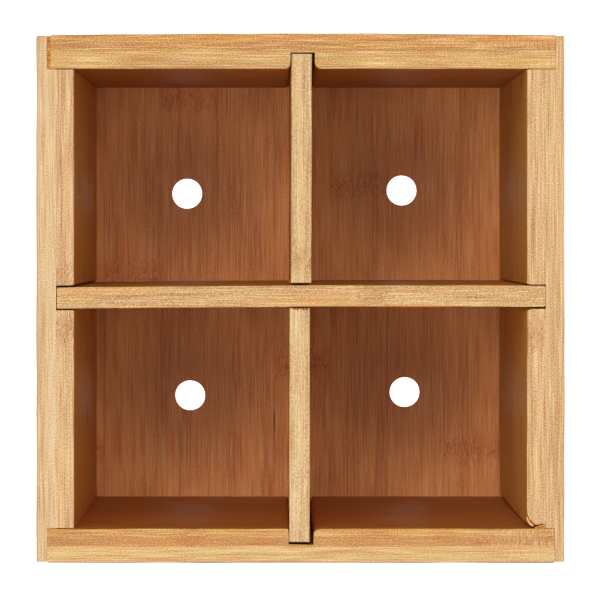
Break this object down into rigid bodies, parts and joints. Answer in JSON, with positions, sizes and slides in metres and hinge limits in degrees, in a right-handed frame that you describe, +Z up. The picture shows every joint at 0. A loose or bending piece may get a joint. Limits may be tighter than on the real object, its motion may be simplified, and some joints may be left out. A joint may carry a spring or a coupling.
{
  "type": "umbrella stand",
  "caption": "Square open-topped bamboo umbrella stand with lift-out crossed dividers and drained compartments.",
  "frame": {"origin": "on the ground, under the middle of the stand", "axes": "+Z up out of the mouth, -Y the front wall, +X the right wall"},
  "size_m": [0.22, 0.22, 0.45],
  "materials": {
    "pale_bamboo": "clear satin lacquer over straw-coloured laminated bamboo",
    "amber_bamboo": "clear satin lacquer over caramel-streaked laminated bamboo",
    "floor_bamboo": "clear satin lacquer over edge-glued bamboo strips",
    "divider_bamboo": "clear satin lacquer over solid laminated bamboo",
    "foot_rubber": "matte moulded rubber",
    "zinc_steel": "bright zinc-plated steel"
  },
  "bodies": {
    "box": {"wall_left_outer": "pale_bamboo", "wall_left_inner_front": "pale_bamboo", "wall_left_inner_back": "pale_bamboo", "wall_right_outer": "pale_bamboo", "wall_right_inner_front": "pale_bamboo", "wall_right_inner_back": "pale_bamboo", "wall_front_outer": "pale_bamboo", "wall_front_inner": "amber_bamboo", "wall_back_outer": "amber_bamboo", "wall_back_inner": "pale_bamboo", "floor_panel": "floor_bamboo", "foot_front_left": "foot_rubber", "foot_screw_front_left": "zinc_steel", "foot_front_right": "foot_rubber", "foot_screw_front_right": "zinc_steel", "foot_back_left": "foot_rubber", "foot_screw_back_left": "zinc_steel", "foot_back_right": "foot_rubber", "foot_screw_back_right": "zinc_steel", "corner_pin_front_left_low": "zinc_steel", "corner_pin_front_left_middle": "zinc_steel", "corner_pin_front_left_high": "zinc_steel", "corner_pin_front_right_low": "zinc_steel", "corner_pin_front_right_middle": "zinc_steel", "corner_pin_front_right_high": "zinc_steel", "corner_pin_back_left_low": "zinc_steel", "corner_pin_back_left_middle": "zinc_steel", "corner_pin_back_left_high": "zinc_steel", "corner_pin_back_right_low": "zinc_steel", "corner_pin_back_right_middle": "zinc_steel", "corner_pin_back_right_high": "zinc_steel"},
    "lengthwise_divider": {"divider_front_to_back": "divider_bamboo"},
    "crosswise_divider": {"divider_left_to_right": "divider_bamboo"}
  },
  "joints": [
    {"name": "lengthwise_divider_lift", "type": "slide", "parent": "box", "child": "lengthwise_divider", "axis": [0, 0, 1], "range_m": [0, 0.44]},
    {"name": "crosswise_divider_lift", "type": "slide", "parent": "lengthwise_divider", "child": "crosswise_divider", "axis": [0, 0, 1], "range_m": [0, 0.44]}
  ]
}
